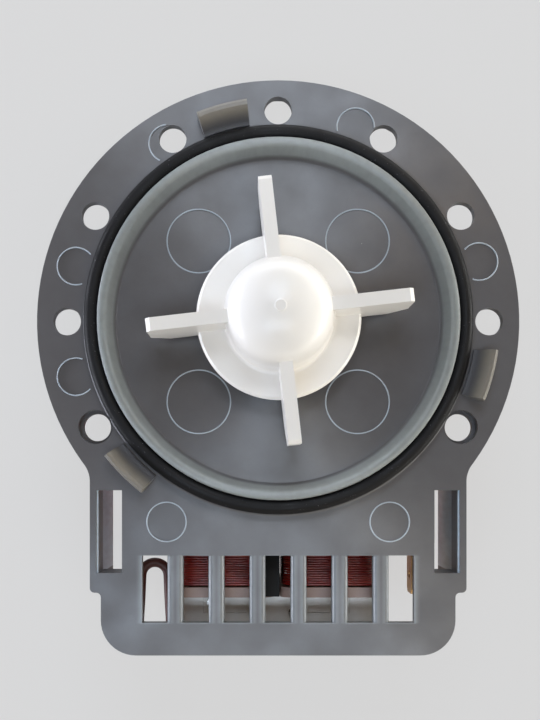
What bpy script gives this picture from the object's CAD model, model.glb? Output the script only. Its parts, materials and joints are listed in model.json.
"""Finishes, softened mouldings, fine coil turns and stacked core sheets of the washer drain pump."""
import json
import math
import bmesh
import bpy
from mathutils import Matrix, Vector


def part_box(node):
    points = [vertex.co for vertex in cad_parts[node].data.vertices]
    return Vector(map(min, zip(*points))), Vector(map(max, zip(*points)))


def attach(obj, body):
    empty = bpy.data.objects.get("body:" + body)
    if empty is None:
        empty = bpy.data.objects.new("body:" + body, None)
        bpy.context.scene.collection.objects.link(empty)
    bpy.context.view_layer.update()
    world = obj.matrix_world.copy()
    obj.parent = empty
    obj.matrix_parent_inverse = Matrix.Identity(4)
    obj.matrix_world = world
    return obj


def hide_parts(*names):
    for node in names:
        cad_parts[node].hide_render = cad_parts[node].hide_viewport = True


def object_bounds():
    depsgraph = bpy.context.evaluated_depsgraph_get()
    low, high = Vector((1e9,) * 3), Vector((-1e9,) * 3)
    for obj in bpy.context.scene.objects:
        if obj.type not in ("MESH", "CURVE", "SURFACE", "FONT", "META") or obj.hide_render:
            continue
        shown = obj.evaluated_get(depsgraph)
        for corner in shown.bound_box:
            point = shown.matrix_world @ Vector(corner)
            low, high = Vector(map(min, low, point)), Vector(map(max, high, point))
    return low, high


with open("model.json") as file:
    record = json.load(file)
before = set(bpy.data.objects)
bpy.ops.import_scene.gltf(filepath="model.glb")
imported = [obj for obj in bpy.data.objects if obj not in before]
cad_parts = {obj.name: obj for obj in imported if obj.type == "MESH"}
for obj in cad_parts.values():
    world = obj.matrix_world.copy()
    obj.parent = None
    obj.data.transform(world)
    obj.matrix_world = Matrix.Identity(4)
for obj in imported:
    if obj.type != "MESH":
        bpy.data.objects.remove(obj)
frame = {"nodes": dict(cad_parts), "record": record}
cad_nodes = frame["nodes"]
cad_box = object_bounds()
MM = 0.001


def tone(red, green, blue):
    """A colour read as 0 to 255 screen values, as the linear values that Blender takes."""
    return tuple(((c / 255 + 0.055) / 1.055) ** 2.4 if c > 10 else c / 255 / 12.92 for c in (red, green, blue))


# Finishes

def new_finish(name, colour, roughness, metallic=0.0, **sockets):
    """A material with its main shader, named for the finish."""
    material = bpy.data.materials.new(name)
    material.use_nodes = True
    shader = material.node_tree.nodes["Principled BSDF"]
    shader.inputs["Base Color"].default_value = (*colour, 1)
    shader.inputs["Roughness"].default_value = roughness
    shader.inputs["Metallic"].default_value = metallic
    for socket, value in sockets.items():
        shader.inputs[socket.replace("_", " ")].default_value = value
    return material, material.node_tree, shader


def noise(tree, size, detail=2.0, stretch=(1, 1, 1)):
    """Cloudy noise on the piece, with features of about that size in metres."""
    coords = tree.nodes.new("ShaderNodeTexCoord")
    mapping = tree.nodes.new("ShaderNodeMapping")
    mapping.inputs["Scale"].default_value = stretch
    texture = tree.nodes.new("ShaderNodeTexNoise")
    texture.inputs["Scale"].default_value = 1 / size
    texture.inputs["Detail"].default_value = detail
    tree.links.new(coords.outputs["Object"], mapping.inputs["Vector"])
    tree.links.new(mapping.outputs["Vector"], texture.inputs["Vector"])
    return texture.outputs["Fac"]


def spread(tree, value, low, high, to_low=0.0, to_high=1.0):
    """A value brought from one span to another, kept within it."""
    spread_node = tree.nodes.new("ShaderNodeMapRange")
    for socket, number in (("From Min", low), ("From Max", high), ("To Min", to_low), ("To Max", to_high)):
        spread_node.inputs[socket].default_value = number
    tree.links.new(value, spread_node.inputs["Value"])
    return spread_node.outputs["Result"]


def blend_colours(tree, factor, first, second):
    """Mixes two colours, or a colour and a socket, by a factor."""
    mix = tree.nodes.new("ShaderNodeMix")
    mix.data_type = "RGBA"
    tree.links.new(factor, mix.inputs["Factor"])
    for socket, colour in (("A", first), ("B", second)):
        plug = [i for i in mix.inputs if i.name == socket and i.type == "RGBA"][0]
        if isinstance(colour, tuple):
            plug.default_value = (*colour, 1)
        else:
            tree.links.new(colour, plug)
    return [o for o in mix.outputs if o.type == "RGBA"][0]


def add_bumps(tree, shader, *heights):
    """Raises the surface by each (height, depth in metres) pair, one after another."""
    before = None
    for height, depth in heights:
        bump = tree.nodes.new("ShaderNodeBump")
        bump.inputs["Strength"].default_value = 1.0
        bump.inputs["Distance"].default_value = depth
        tree.links.new(height, bump.inputs["Height"])
        if before:
            tree.links.new(before, bump.inputs["Normal"])
        before = bump.outputs["Normal"]
    tree.links.new(before, shader.inputs["Normal"])


def moulded_plastic(name, colour, other, roughness, dust_level=0.80):
    """Satin moulding: cloudy colour, dark specks, pale dust, uneven gloss, spark-eroded grain and slight sink."""
    material, tree, shader = new_finish(name, colour, roughness)
    clouds = noise(tree, 9 * MM, 4.0)
    specks = noise(tree, 0.6 * MM)
    dust = noise(tree, 0.9 * MM, 1.0)
    darker = tuple(c * 0.84 for c in colour)
    dusty = tuple(c + (0.6 - c) * 0.5 for c in colour)
    colour_out = blend_colours(tree, spread(tree, clouds, 0.35, 0.68), colour, other)
    colour_out = blend_colours(tree, spread(tree, specks, 0.56, 0.72, 0.0, 0.5), colour_out, darker)
    colour_out = blend_colours(tree, spread(tree, dust, dust_level, dust_level + 0.02), colour_out, dusty)
    tree.links.new(colour_out, shader.inputs["Base Color"])
    tree.links.new(spread(tree, clouds, 0.3, 0.7, roughness - 0.07, roughness + 0.08),
                   shader.inputs["Roughness"])
    grain, ripple, sink = noise(tree, 0.09 * MM), noise(tree, 0.4 * MM), noise(tree, 4 * MM, 1.0)
    add_bumps(tree, shader, (grain, 0.004 * MM), (ripple, 0.008 * MM), (sink, 0.02 * MM))
    return material


def gloss_moulding(name, colour, roughness):
    """Smooth glossy moulding of one even colour, with a faint polish grain."""
    material, tree, shader = new_finish(name, colour, roughness)
    add_bumps(tree, shader, (noise(tree, 0.4 * MM), 0.003 * MM), (noise(tree, 4 * MM, 1.0), 0.01 * MM))
    return material


def rubber():
    """Black seal rubber with grease sheen and dust specks."""
    material, tree, shader = new_finish("seal_rubber", tone(15, 15, 17), 0.45, Specular_IOR_Level=0.25)
    dust = noise(tree, 0.35 * MM, 3.0)
    patches = noise(tree, 5 * MM)
    colour_out = blend_colours(tree, spread(tree, dust, 0.70, 0.73), tone(15, 15, 17), tone(96, 96, 100))
    tree.links.new(colour_out, shader.inputs["Base Color"])
    tree.links.new(spread(tree, patches, 0.35, 0.65, 0.45, 0.62), shader.inputs["Roughness"])
    add_bumps(tree, shader, (dust, 0.012 * MM), (noise(tree, 0.1 * MM, 1.0), 0.004 * MM))
    return material


def enamel():
    """Dark red wire enamel over copper, glossy, with drag marks along the turns."""
    material, tree, shader = new_finish("wire_enamel", tone(140, 38, 30), 0.32, 0.0,
                                        Coat_Weight=0.5, Coat_Roughness=0.2)
    patches = noise(tree, 4 * MM, 3.0)
    turns = noise(tree, 0.5 * MM, 1.0, (0.1, 1, 0.1))
    colour_out = blend_colours(tree, spread(tree, patches, 0.35, 0.7), tone(146, 38, 30), tone(104, 28, 24))
    colour_out = blend_colours(tree, spread(tree, turns, 0.55, 0.75, 0.0, 0.6), colour_out, tone(170, 80, 58))
    tree.links.new(colour_out, shader.inputs["Base Color"])
    tree.links.new(spread(tree, turns, 0.3, 0.7, 0.22, 0.42), shader.inputs["Roughness"])
    return material


def metal(name, colour, other, roughness, grain_stretch=(1, 12, 1), grain_size=1.2 * MM):
    """Metal with a rolled or brushed grain, uneven tint and dull patches."""
    material, tree, shader = new_finish(name, colour, roughness, 1.0)
    grain = noise(tree, grain_size, 3.0, grain_stretch)
    patches = noise(tree, 6 * MM, 3.0)
    colour_out = blend_colours(tree, spread(tree, patches, 0.35, 0.7), colour, other)
    tree.links.new(colour_out, shader.inputs["Base Color"])
    tree.links.new(spread(tree, grain, 0.3, 0.7, roughness - 0.08, roughness + 0.12),
                   shader.inputs["Roughness"])
    add_bumps(tree, shader, (grain, 0.006 * MM))
    return material


finishes = {
    "grey_plastic": moulded_plastic("plate_plastic", tone(91, 91, 94), tone(81, 80, 82), 0.38, 0.83),
    "black_rubber": rubber(),
    "dark_plastic": moulded_plastic("dark_plastic", tone(66, 66, 70), tone(58, 57, 60), 0.45),
    "white_plastic": gloss_moulding("impeller_plastic", tone(234, 231, 226), 0.28),
    "bush_bronze": metal("sintered_bronze", tone(176, 136, 84), tone(150, 112, 70), 0.45, (1, 1, 1), 0.2 * MM),
    "core_steel": metal("core_sheet_steel", tone(232, 232, 230), tone(214, 214, 212), 0.50),
    "bright_steel": metal("zinc_plated_steel", tone(200, 200, 198), tone(182, 182, 184), 0.28, (1, 1, 1)),
    "bobbin_plastic": moulded_plastic("bobbin_plastic", tone(160, 134, 122), tone(148, 124, 114), 0.45),
    "black_card": moulded_plastic("card_board", tone(20, 20, 20), tone(16, 16, 16), 0.85),
    "inner_winding": enamel(),
    "terminal_brass": metal("tab_brass", tone(196, 156, 104), tone(176, 136, 88), 0.32, (1, 1, 8)),
    "lead_sleeve": moulded_plastic("lead_sleeve", tone(92, 48, 42), tone(80, 40, 36), 0.5),
    "shaft_steel": metal("ground_shaft_steel", tone(196, 196, 200), tone(186, 186, 190), 0.2, (1, 1, 10)),
    "magnet_ferrite": moulded_plastic("magnet_ferrite", tone(62, 62, 64), tone(52, 52, 54), 0.6),
    "washer_plastic": moulded_plastic("washer_plastic", tone(222, 216, 200), tone(212, 206, 190), 0.4),
}
finishes["enamelled_wire"] = finishes["inner_winding"]


def turned_polish(material):
    """The mould was turned, so the gloss is drawn out across rings round the rotor axis."""
    tree = material.node_tree
    shader = tree.nodes["Principled BSDF"]
    tangent = tree.nodes.new("ShaderNodeTangent")
    tangent.direction_type = "RADIAL"
    tangent.axis = "Z"
    tree.links.new(tangent.outputs["Tangent"], shader.inputs["Tangent"])
    shader.inputs["Anisotropic"].default_value = 0.85
    shader.inputs["Specular IOR Level"].default_value = 1.0
    shader.inputs["Anisotropic Rotation"].default_value = 0.25


def drag_paled(material):
    """The drag out of the mould pales the chamber's drafted wall, the window walls, the bars' edges and the lugs."""
    tree = material.node_tree
    shader = tree.nodes["Principled BSDF"]

    def computed(operation, first, second=None):
        node = tree.nodes.new("ShaderNodeMath")
        node.operation = operation
        for plug, value in zip(node.inputs, (first, second)):
            if isinstance(value, float):
                plug.default_value = value
            elif value is not None:
                tree.links.new(value, plug)
        return node.outputs["Value"]

    def product(first, *others):
        for other in others:
            first = computed("MULTIPLY", first, other)
        return first

    def ramp(value, none, full):
        """0 up to one place in millimetres and 1 from the other."""
        return spread(tree, value, none * MM, full * MM)

    def band(value, start, full_from, full_to, end):
        return product(ramp(value, start, full_from), ramp(value, end, full_to))

    coords = tree.nodes.new("ShaderNodeTexCoord")
    parts = tree.nodes.new("ShaderNodeSeparateXYZ")
    tree.links.new(coords.outputs["Object"], parts.inputs["Vector"])
    x, y, z = (parts.outputs[axis] for axis in "XYZ")
    flat = tree.nodes.new("ShaderNodeVectorMath")
    flat.operation = "MULTIPLY"
    flat.inputs[1].default_value = (1, 1, 0)
    tree.links.new(coords.outputs["Object"], flat.inputs[0])
    length = tree.nodes.new("ShaderNodeVectorMath")
    length.operation = "LENGTH"
    tree.links.new(flat.outputs["Vector"], length.inputs[0])
    radius = length.outputs["Value"]
    side = computed("ABSOLUTE", x)

    drag = spread(tree, noise(tree, 1.2 * MM, 2.0, (1, 1, 0.2)), 0.3, 0.6, 0.85, 1.0)
    chamber_wall = product(band(radius, 32.0, 32.7, 35.4, 35.7), ramp(z, 0.4, 1.6))
    window_walls = product(band(side, 35.8, 36.1, 36.8, 37.0), ramp(z, -0.2, -0.7),
                           band(y, -50.8, -50.6, -33.4, -33.2))
    half_bar_pitch = 4.1
    off_bar = computed("PINGPONG", side, half_bar_pitch * MM)
    bar_edges = product(band(y, -60.3, -59.9, -46.8, -46.4), ramp(side, 28.4, 27.2), ramp(off_bar, half_bar_pitch, 2.7))
    lug_crests = product(band(radius, 37.6, 38.2, 45.0, 46.0), ramp(z, 1.2, 3.6))
    paled = shader.inputs["Base Color"].links[0].from_socket
    for place, colour in ((chamber_wall, tone(134, 140, 139)), (window_walls, tone(204, 220, 232)),
                          (bar_edges, tone(134, 140, 144)), (lug_crests, tone(118, 113, 103))):
        paled = blend_colours(tree, product(place, drag), paled, colour)
    tree.links.new(paled, shader.inputs["Base Color"])


turned_polish(finishes["grey_plastic"])
drag_paled(finishes["grey_plastic"])
finishes["witness_plastic"] = moulded_plastic("witness_plastic", tone(176, 186, 194), tone(160, 170, 180), 0.3)

slot_of = {entry["node"]: entry["material_slot"] for entry in frame["record"]["subparts"]}
body_of = {name: body for body, names in frame["record"]["behaviour"]["bodies"].items() for name in names}
for name, cad_node in cad_nodes.items():
    cad_node.data.materials.clear()
    cad_node.data.materials.append(finishes[slot_of[name]])


# Shapes

def made_whole(shape, join_distance):
    """Joins points that meet and makes flat faces whole."""
    bmesh.ops.remove_doubles(shape, verts=shape.verts, dist=join_distance)
    shape.normal_update()
    bmesh.ops.dissolve_limit(shape, angle_limit=math.radians(0.4), use_dissolve_boundaries=False,
                             verts=shape.verts, edges=shape.edges, delimit=set())


def merged(name):
    """A copy of a CAD node's mesh, joined up, with its flat faces made whole."""
    shape = bmesh.new()
    shape.from_mesh(cad_nodes[name].data)
    made_whole(shape, 0.002 * MM)
    return shape


def corners(node_name):
    """The low and the high corner of a CAD node's box."""
    return [Vector(corner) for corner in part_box(node_name)]


def round_edges(shape, width, angle=28, steps=2, chosen=lambda edge: True):
    """Rounds the edges that turn by more than an angle."""
    limit = math.radians(angle)
    edges = [e for e in shape.edges if len(e.link_faces) == 2 and e.calc_face_angle(0) > limit and chosen(e)]
    bmesh.ops.bevel(shape, geom=edges, offset=width, offset_type="OFFSET", affect="EDGES", segments=steps,
                    profile=0.5, material=-1, clamp_overlap=True, loop_slide=True)


def new_piece(name, shape, body, material, smooth_angle=32):
    """Makes a shape a piece of the object: smooth shading, finish and body."""
    limit = math.radians(smooth_angle)
    for face in shape.faces:
        face.smooth = True
    for edge in shape.edges:
        edge.smooth = edge.calc_face_angle(0) < limit
    mesh = bpy.data.meshes.new(name)
    shape.to_mesh(mesh)
    shape.free()
    mesh.materials.append(material)
    piece = bpy.data.objects.new(name, mesh)
    bpy.context.collection.objects.link(piece)
    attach(piece, body)
    return piece


def finish_piece(name, shape, stands_for, smooth_angle=32):
    """A piece in place of a CAD node, with that node's body and finish."""
    slot = slot_of[stands_for]
    piece = new_piece(name, shape, body_of[stands_for], finishes[slot], smooth_angle)
    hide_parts(stands_for)
    return piece


def even_faces(piece):
    """Flat faces stay flat beside rounded edges."""
    piece.modifiers.new("even_faces", "WEIGHTED_NORMAL").keep_sharp = True


def softened(name, node_name, width):
    """A part with softened edges in place of a CAD node."""
    shape = merged(node_name)
    round_edges(shape, width)
    even_faces(finish_piece(name, shape, node_name))


def plate_moulding():
    """The plate with its grille as the one moulding that it is, with a wide rounding on its outline."""
    shape = merged("mounting_plate")
    grille = merged("cooling_grille")
    low, high = corners("cooling_grille")
    overlap = 0.05 * MM
    near = 2 * overlap
    for vert in grille.verts:
        for axis in (0, 1):
            for side, outwards in ((low, -overlap), (high, overlap)):
                if abs(vert.co[axis] - side[axis]) < 0.001 * MM:
                    vert.co[axis] += outwards
    joined = bpy.data.meshes.new("joined")
    grille.to_mesh(joined)
    grille.free()
    shape.from_mesh(joined)
    bpy.data.meshes.remove(joined)

    def on_seam(face):
        """The upright faces where the grille meets the plate, which the one moulding doesn't have."""
        middle = face.calc_center_median()
        inside = all(low[axis] - near < middle[axis] < high[axis] + near for axis in (0, 1))
        at_side = any(abs(middle[axis] - side[axis]) < near for axis in (0, 1) for side in (low, high))
        return inside and at_side and abs(face.normal.z) < 0.1 and middle.z > low.z - overlap
    bmesh.ops.delete(shape, geom=[f for f in shape.faces if on_seam(f)], context="FACES")
    made_whole(shape, 0.01 * MM)

    flange_r = corners("mounting_plate")[1].y
    neck_x, block_x = 37.5 * MM, 35.3 * MM
    neck_top, block_top, block_foot = -30 * MM, -54 * MM, -66.5 * MM

    def at_turn(edge, x, y):
        """An upright edge at a turn of the outline."""
        ends = [v.co for v in edge.verts]
        return (abs(ends[0].z - ends[1].z) > 1 * MM and
                all(abs(abs(end.x) - x) < 0.1 * MM and abs(end.y - y) < 0.6 * MM for end in ends))

    def on_outline(edge):
        """An edge of the front face that isn't round a hole, a window or a slot."""
        for vert in edge.verts:
            x, y = abs(vert.co.x), vert.co.y
            on_flange = math.hypot(x, y) > flange_r - 0.2 * MM
            on_neck = x > neck_x - 0.2 * MM and y < neck_top + 4 * MM
            on_block = x > block_x - 0.2 * MM and y < block_top + 1 * MM or y < block_foot + 0.2 * MM
            on_corner = x > 28.9 * MM and y < -59 * MM or x >= 28.5 * MM and y < -61.5 * MM
            if abs(vert.co.z) > 0.01 * MM or not (on_flange or on_neck or on_block or on_corner):
                return False
        return True

    round_edges(shape, 2.6 * MM, 15, 5, lambda e: at_turn(e, neck_x, neck_top))
    round_edges(shape, 0.9 * MM, 28, 4, lambda e: at_turn(e, neck_x, block_top) or at_turn(e, block_x, block_top))
    round_edges(shape, 1.9 * MM, 40, 5, on_outline)
    round_edges(shape, 0.25 * MM)
    piece = finish_piece("plate_moulding", shape, "mounting_plate")
    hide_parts("cooling_grille")
    even_faces(piece)


def witness_rings():
    """The thin raised rings that the mould's ejector pins leave round their marks."""
    marks = [(sx * 15.8, sy * 16, 6.3, 0, 360) for sx in (-1, 1) for sy in (-1, 1)]
    marks += [(sx * 22.2, -39.9, 3.9, 0, 360) for sx in (-1, 1)]
    flange_marks = ((16.6, -110, 250), (68.3, -2, 195), (121.8, 95, 150), (164.7, 39, 250), (195.3, 70, 250))
    for around, start, arc in flange_marks:
        a = math.radians(around)
        marks.append((41.7 * math.cos(a), 41.7 * math.sin(a), 3.7, start, arc))
    for number, (x, y, radius, start, arc) in enumerate(marks, 1):
        shape = bmesh.new()
        section = bmesh.ops.create_circle(shape, cap_ends=arc < 360, segments=10, radius=0.11 * MM)["verts"]
        for vert in section:
            vert.co = Vector(((radius + 0.02) * MM + vert.co.x * 1.3, 0, vert.co.y * 0.9))
        bmesh.ops.rotate(shape, verts=shape.verts, cent=(0, 0, 0), matrix=Matrix.Rotation(math.radians(start), 3, "Z"))
        bmesh.ops.spin(shape, geom=shape.verts[:] + shape.edges[:] + shape.faces[:], cent=(0, 0, 0),
                       axis=(0, 0, 1), angle=math.radians(arc), steps=arc // 5, use_merge=arc == 360,
                       use_duplicate=False)
        bmesh.ops.translate(shape, verts=shape.verts, vec=(x * MM, y * MM, 0))
        bmesh.ops.recalc_face_normals(shape, faces=shape.faces)
        new_piece(f"witness_ring_{number}", shape, "housing", finishes["witness_plastic"])


plate_moulding()
witness_rings()
for piece_name, node_name, width in (
        ("impeller_moulding", "impeller", 0.28), ("can_moulding", "rotor_can", 0.3),
        ("holder_moulding", "bearing_holder", 0.15), ("left_bobbin_moulding", "left_bobbin", 0.25),
        ("right_bobbin_moulding", "right_bobbin", 0.25), ("card_leaf", "insulation_card", 0.1),
        ("terminal_tabs", "terminals", 0.12), ("rotor_shaft", "shaft", 0.2),
        ("magnet_body", "rotor_magnet", 0.2), ("magnet_skin_moulding", "magnet_overmould", 0.25),
        ("closing_disc_moulding", "hub_closing_disc", 0.15), ("cushion_pair", "stop_cushions", 0.25),
        ("core_rivet_set", "core_rivets", 0.15), ("stator_screw_set", "stator_screws", 0.1)):
    softened(piece_name, node_name, width * MM)


def seal_ring():
    """The collar's cord seal with a true round section."""
    low, high = corners("collar_seal")
    cord_r = (high.z - low.z) / 2
    ring_r = (high.x - low.x) / 2 - cord_r
    level = (low.z + high.z) / 2
    shape = bmesh.new()
    section = bmesh.ops.create_circle(shape, cap_ends=False, segments=28, radius=cord_r)["verts"]
    for vert in section:
        vert.co = Vector((ring_r + vert.co.x, 0, level + vert.co.y))
    bmesh.ops.spin(shape, geom=shape.verts[:] + shape.edges[:], cent=(0, 0, 0), axis=(0, 0, 1),
                   angle=2 * math.pi, steps=200, use_merge=True, use_duplicate=False)
    bmesh.ops.recalc_face_normals(shape, faces=shape.faces)
    finish_piece("collar_seal_ring", shape, "collar_seal")


seal_ring()


def stacked_sheets(name, node_name):
    """A core part as punched sheets: a groove runs round it at every joint between two sheets."""
    sheet, groove_half, groove_depth = 0.5 * MM, 0.045 * MM, 0.0585 * MM
    shape = merged(node_name)
    low, high = corners(node_name)
    count = round((high.z - low.z) / sheet)
    for joint in range(1, count):
        level = low.z + (high.z - low.z) * joint / count
        for offset in (-groove_half, 0, groove_half):
            bmesh.ops.bisect_plane(shape, geom=shape.verts[:] + shape.edges[:] + shape.faces[:], dist=1e-7,
                                   plane_co=(0, 0, level + offset), plane_no=(0, 0, 1))
        shape.normal_update()
        for vert in shape.verts:
            if abs(vert.co.z - level) < 0.001 * MM:
                vert.co -= Vector((vert.normal.x, vert.normal.y, 0)) * groove_depth
    finish_piece(name, shape, node_name, 20)


stacked_sheets("left_leg_sheets", "core_left_leg")
stacked_sheets("right_leg_sheets", "core_right_leg")
stacked_sheets("yoke_sheets", "core_yoke")


def new_strand(name, kind, route, radius, round_steps, finish, node_name, **spline_settings):
    """A round wire or lead along a route of places, in place of a CAD node."""
    curve = bpy.data.curves.new(name, "CURVE")
    curve.dimensions = "3D"
    curve.bevel_depth = radius
    curve.bevel_resolution = round_steps
    curve.use_fill_caps = True
    spline = curve.splines.new(kind)
    spline.points.add(len(route) - 1)
    for point, place in zip(spline.points, route):
        point.co = (*place, 1)
    for setting, value in spline_settings.items():
        setattr(spline, setting, value)
    curve.materials.append(finishes[finish])
    strand = bpy.data.objects.new(name, curve)
    bpy.context.collection.objects.link(strand)
    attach(strand, "housing")
    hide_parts(node_name)


def coil_turns(name, node_name):
    """The outer layer of a coil in its real wire, one unbroken strand that steps over behind."""
    wire, corner, flange, lead_in = 0.47 * MM, 3 * MM, 2.35 * MM, 0.5 * MM
    low, high = corners(node_name)
    centre = (low + high) / 2
    half_x = (high.x - low.x - wire) / 2
    half_z = (high.z - low.z - wire) / 2
    top, bottom = high.y - flange, low.y + flange
    turns = int((top - bottom) / (wire * 1.03))
    pitch = (top - bottom) / (turns - 1)
    aside = 0.35 * MM
    route = [(0, high.y, -half_z), (0, top + lead_in, -half_z), (aside, top, -half_z)]
    for turn in range(turns):
        y = top - turn * pitch
        for start, sx, sz in ((-90, 1, -1), (0, 1, 1), (90, -1, 1), (180, -1, -1)):
            for step in range(5):
                a = math.radians(start + 22.5 * step)
                route.append((sx * (half_x - corner) + corner * math.cos(a), y,
                              sz * (half_z - corner) + corner * math.sin(a)))
        if turn < turns - 1:
            route.append((0, y - pitch / 2, -half_z))
    route += [(-aside, bottom, -half_z), (0, bottom - lead_in, -half_z), (0, low.y, -half_z)]
    places = [(centre.x + x, y, centre.z + z) for x, y, z in route]
    new_strand(name, "POLY", places, wire / 2, 1, "enamelled_wire", node_name, use_smooth=True)


coil_turns("left_coil_wire", "left_winding")
coil_turns("right_coil_wire", "right_winding")


def lead_arch():
    """The sleeved lead between the coil's ends, bent into an arch with spreading legs."""
    low, high = corners("lead_loop")
    radius = (high.z - low.z) / 2
    bend = (high.x - low.x) / 2 - radius
    middle, level = (low.x + high.x) / 2, (low.z + high.z) / 2
    bend_y = high.y - radius - bend
    knee_y = (low.y + bend_y) / 2
    splay = 0.55 * MM
    knee, foot = bend + 0.35 * splay, bend + splay
    route = [(-foot, low.y), (-knee, knee_y)]
    for step in range(13):
        a = math.pi * (1 - step / 12)
        route.append((bend * math.cos(a), bend_y + bend * math.sin(a)))
    route += [(knee, knee_y), (foot, low.y)]
    places = [(middle + x, y, level) for x, y in route]
    new_strand("lead_arch", "NURBS", places, radius, 6, "lead_sleeve", "lead_loop",
               use_endpoint_u=True, order_u=3, resolution_u=6)


lead_arch()


# Floor, light and camera

PALE = tone(217, 217, 217)


def pale_floor():
    """The pale ground behind the pump, which keeps a soft shadow."""
    material, tree, shader = new_finish("pale_ground", PALE, 0.9)
    glow = tree.nodes.new("ShaderNodeEmission")
    glow.inputs["Color"].default_value = (*PALE, 1)
    mix = tree.nodes.new("ShaderNodeMixShader")
    path = tree.nodes.new("ShaderNodeLightPath")
    seen = spread(tree, path.outputs["Is Camera Ray"], 0, 1, 0.0, 0.8)
    tree.links.new(seen, mix.inputs["Fac"])
    tree.links.new(shader.outputs["BSDF"], mix.inputs[1])
    tree.links.new(glow.outputs["Emission"], mix.inputs[2])
    tree.links.new(mix.outputs["Shader"], tree.nodes["Material Output"].inputs["Surface"])
    shape = bmesh.new()
    bmesh.ops.create_grid(shape, x_segments=1, y_segments=1, size=1.5)
    bmesh.ops.translate(shape, verts=shape.verts, vec=(0, 0, cad_box[0][2] - 0.2 * MM))
    mesh = bpy.data.meshes.new("ground")
    shape.to_mesh(mesh)
    shape.free()
    mesh.materials.append(material)
    ground = bpy.data.objects.new("ground", mesh)
    bpy.context.collection.objects.link(ground)


def soft_lamp(name, place, target, size, watts, colour):
    """A rectangular lamp that faces a target."""
    light = bpy.data.lights.new(name, "AREA")
    light.shape = "RECTANGLE"
    light.size, light.size_y = size
    light.energy = watts
    light.color = colour
    lamp = bpy.data.objects.new(name, light)
    lamp.location = place
    lamp.rotation_euler = (Vector(target) - Vector(place)).to_track_quat("-Z", "Y").to_euler()
    bpy.context.collection.objects.link(lamp)


pale_floor()
soft_lamp("top_window", (0, 0.27, 0.52), (0, 0, 0), (0.28, 0.16), 0.99, (0.78, 0.87, 1.0))
soft_lamp("far_window", (0, 0.42, 0.45), (0, 0, 0), (0.28, 0.10), 0.33, (0.70, 0.84, 1.0))
soft_lamp("lower_window", (0, -0.17, 0.52), (0, -0.03, 0), (0.34, 0.12), 0.86, (0.77, 0.88, 1.0))
for name, x, y, watts, colour in (("right_strip", 0.5, 0, 1.3, (0.93, 0.96, 0.98)),
                                  ("left_strip", -0.5, 0, 2.8, (0.84, 0.88, 1.0)),
                                  ("back_strip", 0, 0.5, 0.75, (0.78, 0.86, 1.0))):
    soft_lamp(name, (x, y, 0.055), (0, 0, 0), (0.6, 0.08), watts, colour)
for name, x, y, watts, colour in (("cool_glow", -0.2, -0.22, 0.21, (0.42, 0.66, 1.0)),
                                  ("warm_glow", 0.2, 0.25, 0.11, (1.0, 0.60, 0.15)),
                                  ("low_glow", 0.2, -0.22, 0.11, (1.0, 0.64, 0.10))):
    soft_lamp(name, (x, y, 0.5), (0, 0, 0), (0.12, 0.12), watts, colour)


def room():
    """A room with a dim ceiling and bright, slightly warm walls low down to the right."""
    world = bpy.data.worlds.new("pale_room")
    bpy.context.scene.world = world
    world.use_nodes = True
    tree = world.node_tree
    sky = tree.nodes["Background"]
    coords = tree.nodes.new("ShaderNodeTexCoord")
    parts = tree.nodes.new("ShaderNodeSeparateXYZ")
    tree.links.new(coords.outputs["Generated"], parts.inputs["Vector"])
    across = spread(tree, parts.outputs["X"], -0.7, 0.7)
    walls = blend_colours(tree, across, (0.12, 0.12, 0.12), (1.0, 0.94, 0.82))
    ceiling = blend_colours(tree, across, (0.035, 0.025, 0.015), (0.045, 0.030, 0.015))
    height = spread(tree, parts.outputs["Z"], 0.08, 0.40)
    tree.links.new(blend_colours(tree, height, walls, ceiling), sky.inputs["Color"])
    sky.inputs["Strength"].default_value = 3.4
    shown = tree.nodes.new("ShaderNodeBackground")
    shown.inputs["Color"].default_value = (*PALE, 1)
    path = tree.nodes.new("ShaderNodeLightPath")
    mix = tree.nodes.new("ShaderNodeMixShader")
    tree.links.new(path.outputs["Is Camera Ray"], mix.inputs["Fac"])
    tree.links.new(sky.outputs["Background"], mix.inputs[1])
    tree.links.new(shown.outputs["Background"], mix.inputs[2])
    tree.links.new(mix.outputs["Shader"], tree.nodes["World Output"].inputs["Surface"])


room()

# The camera looks straight at the plate from a little off the rotor axis, and the shifts frame the pump.
camera_data = bpy.data.cameras.new("photo_camera")
camera_data.sensor_width = 36
camera_data.lens = 50.24
camera_data.shift_x = 0.0222
camera_data.shift_y = 0.1558
camera_data.clip_start = 0.01
camera = bpy.data.objects.new("photo_camera", camera_data)
camera.location = (-0.0048, -0.0300, 0.200)
bpy.context.collection.objects.link(camera)
bpy.context.scene.camera = camera
bpy.context.scene.view_settings.view_transform = "Standard"
